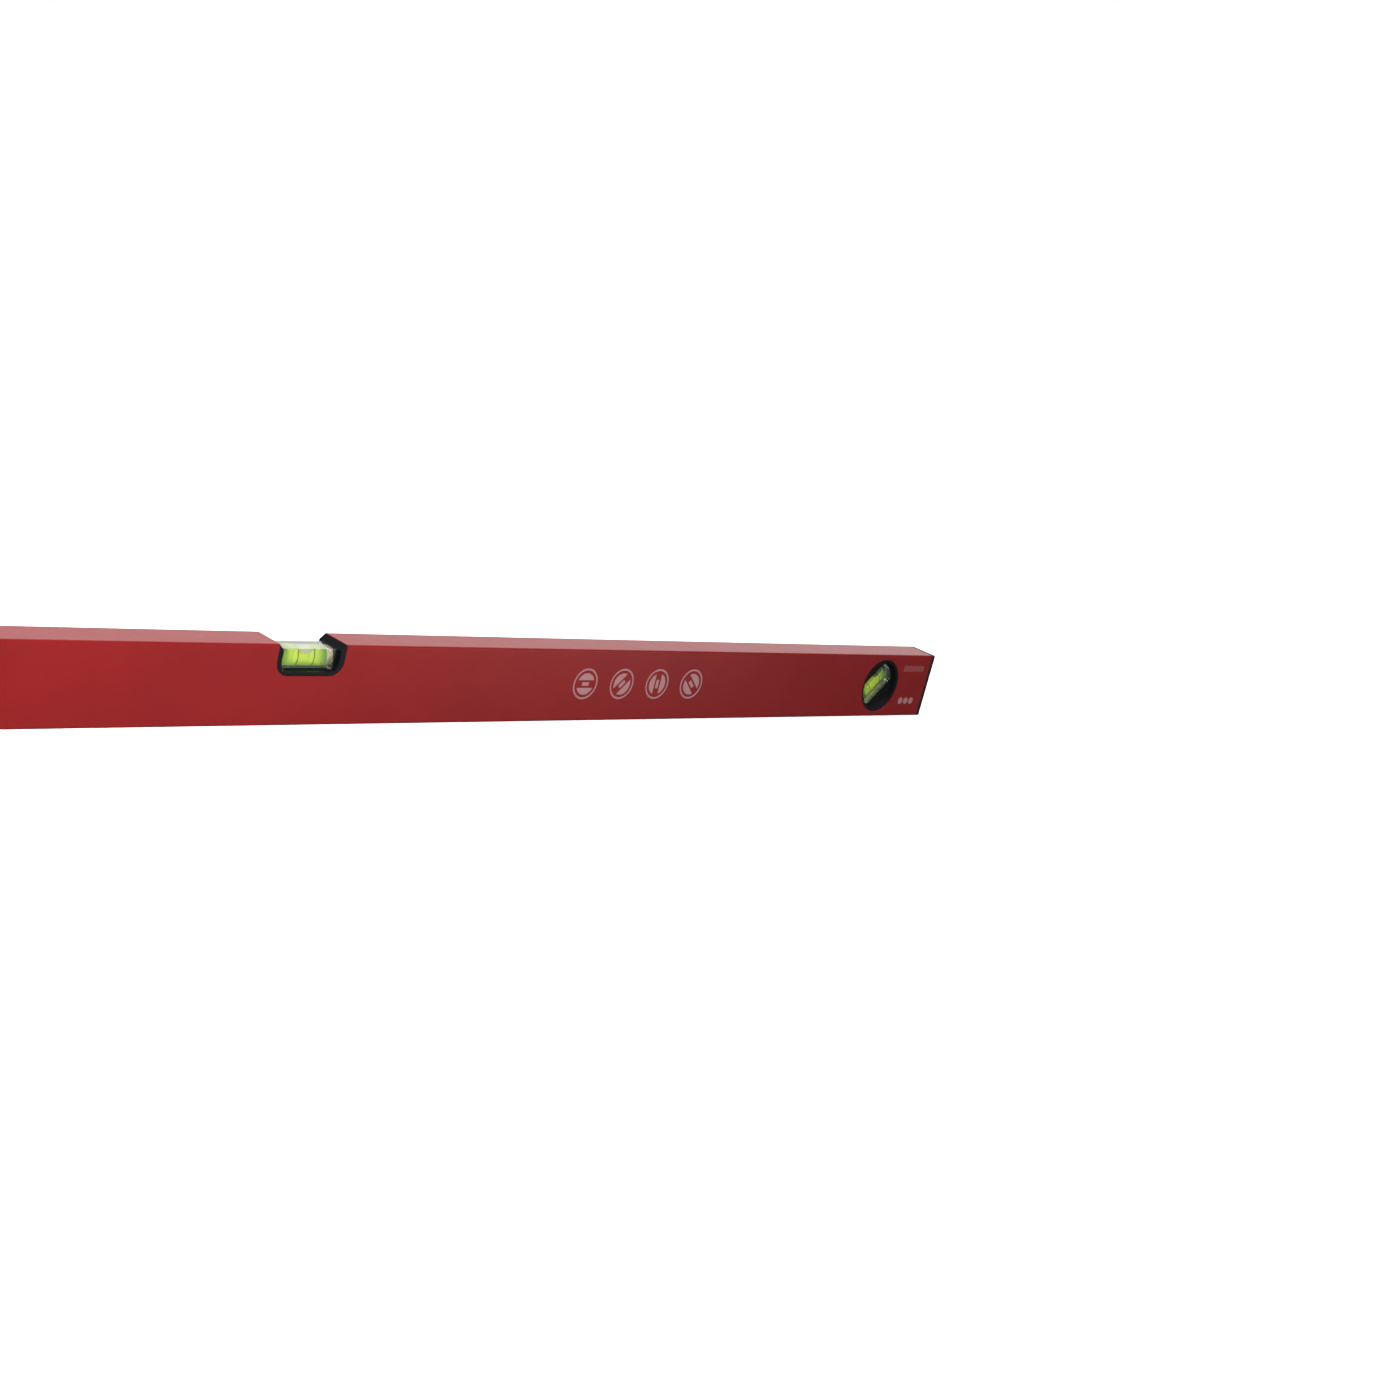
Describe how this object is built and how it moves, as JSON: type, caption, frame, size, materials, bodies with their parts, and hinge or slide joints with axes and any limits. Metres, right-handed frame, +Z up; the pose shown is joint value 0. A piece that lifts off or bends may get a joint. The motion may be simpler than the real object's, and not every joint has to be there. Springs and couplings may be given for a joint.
{
  "type": "spirit level",
  "caption": "Long box-section spirit level, open-topped centre vial, plumb and 45 degree end vials in round housings, capped ends, bubbles that slide.",
  "frame": {"origin": "middle of the flat base face, under the centre vial", "axes": "+X along the level towards the 45 degree vial's end, +Y from the front face to the back face, +Z up from the base face"},
  "size_m": [1.2, 0.024, 0.05],
  "materials": {
    "painted_section": "smooth red powder coat on an aluminium extrusion, gloss on the edge faces",
    "end_cap_plastic": "fine-textured black moulded plastic",
    "pad_rubber": "matt black rubber",
    "holder_plastic": "satin black moulded plastic",
    "clear_acrylic": "polished clear acrylic",
    "plug_plastic": "pale beige plastic",
    "ring_black": "black",
    "vial_liquid": "clear yellow-green liquid",
    "air_bubble": "clear air, seen pale through the liquid"
  },
  "bodies": {
    "level": {"profile": "painted_section", "end_cap_left": "end_cap_plastic", "end_cap_right": "end_cap_plastic", "end_pad_left": "pad_rubber", "end_pad_right": "pad_rubber", "centre_holder_front": "holder_plastic", "centre_holder_back": "holder_plastic", "centre_vial_block": "clear_acrylic", "centre_vial_plug": "plug_plastic", "centre_vial_rings": "ring_black", "centre_vial_fluid": "vial_liquid", "plumb_housing_front": "holder_plastic", "plumb_housing_back": "holder_plastic", "plumb_vial_block": "clear_acrylic", "plumb_vial_plug": "plug_plastic", "plumb_vial_rings": "ring_black", "plumb_vial_fluid": "vial_liquid", "angle_housing_front": "holder_plastic", "angle_housing_back": "holder_plastic", "angle_vial_block": "clear_acrylic", "angle_vial_plug": "plug_plastic", "angle_vial_rings": "ring_black", "angle_vial_fluid": "vial_liquid"},
    "centre_bubble": {"centre_vial_bubble": "air_bubble"},
    "plumb_bubble": {"plumb_vial_bubble": "air_bubble"},
    "angle_bubble": {"angle_vial_bubble": "air_bubble"}
  },
  "joints": [
    {"name": "centre_bubble_slide", "type": "slide", "parent": "level", "child": "centre_bubble", "axis": [1, 0, 0], "range_m": [-0.0096, 0.0096], "stiffness_N_per_m": 0.5},
    {"name": "plumb_bubble_slide", "type": "slide", "parent": "level", "child": "plumb_bubble", "axis": [0, 0, 1], "range_m": [-0.0142, 0], "stiffness_N_per_m": 1, "springref_m": 0.02},
    {"name": "angle_bubble_slide", "type": "slide", "parent": "level", "child": "angle_bubble", "axis": [0.7071, 0, 0.7071], "range_m": [-0.0142, 0], "stiffness_N_per_m": 1, "springref_m": 0.02}
  ]
}
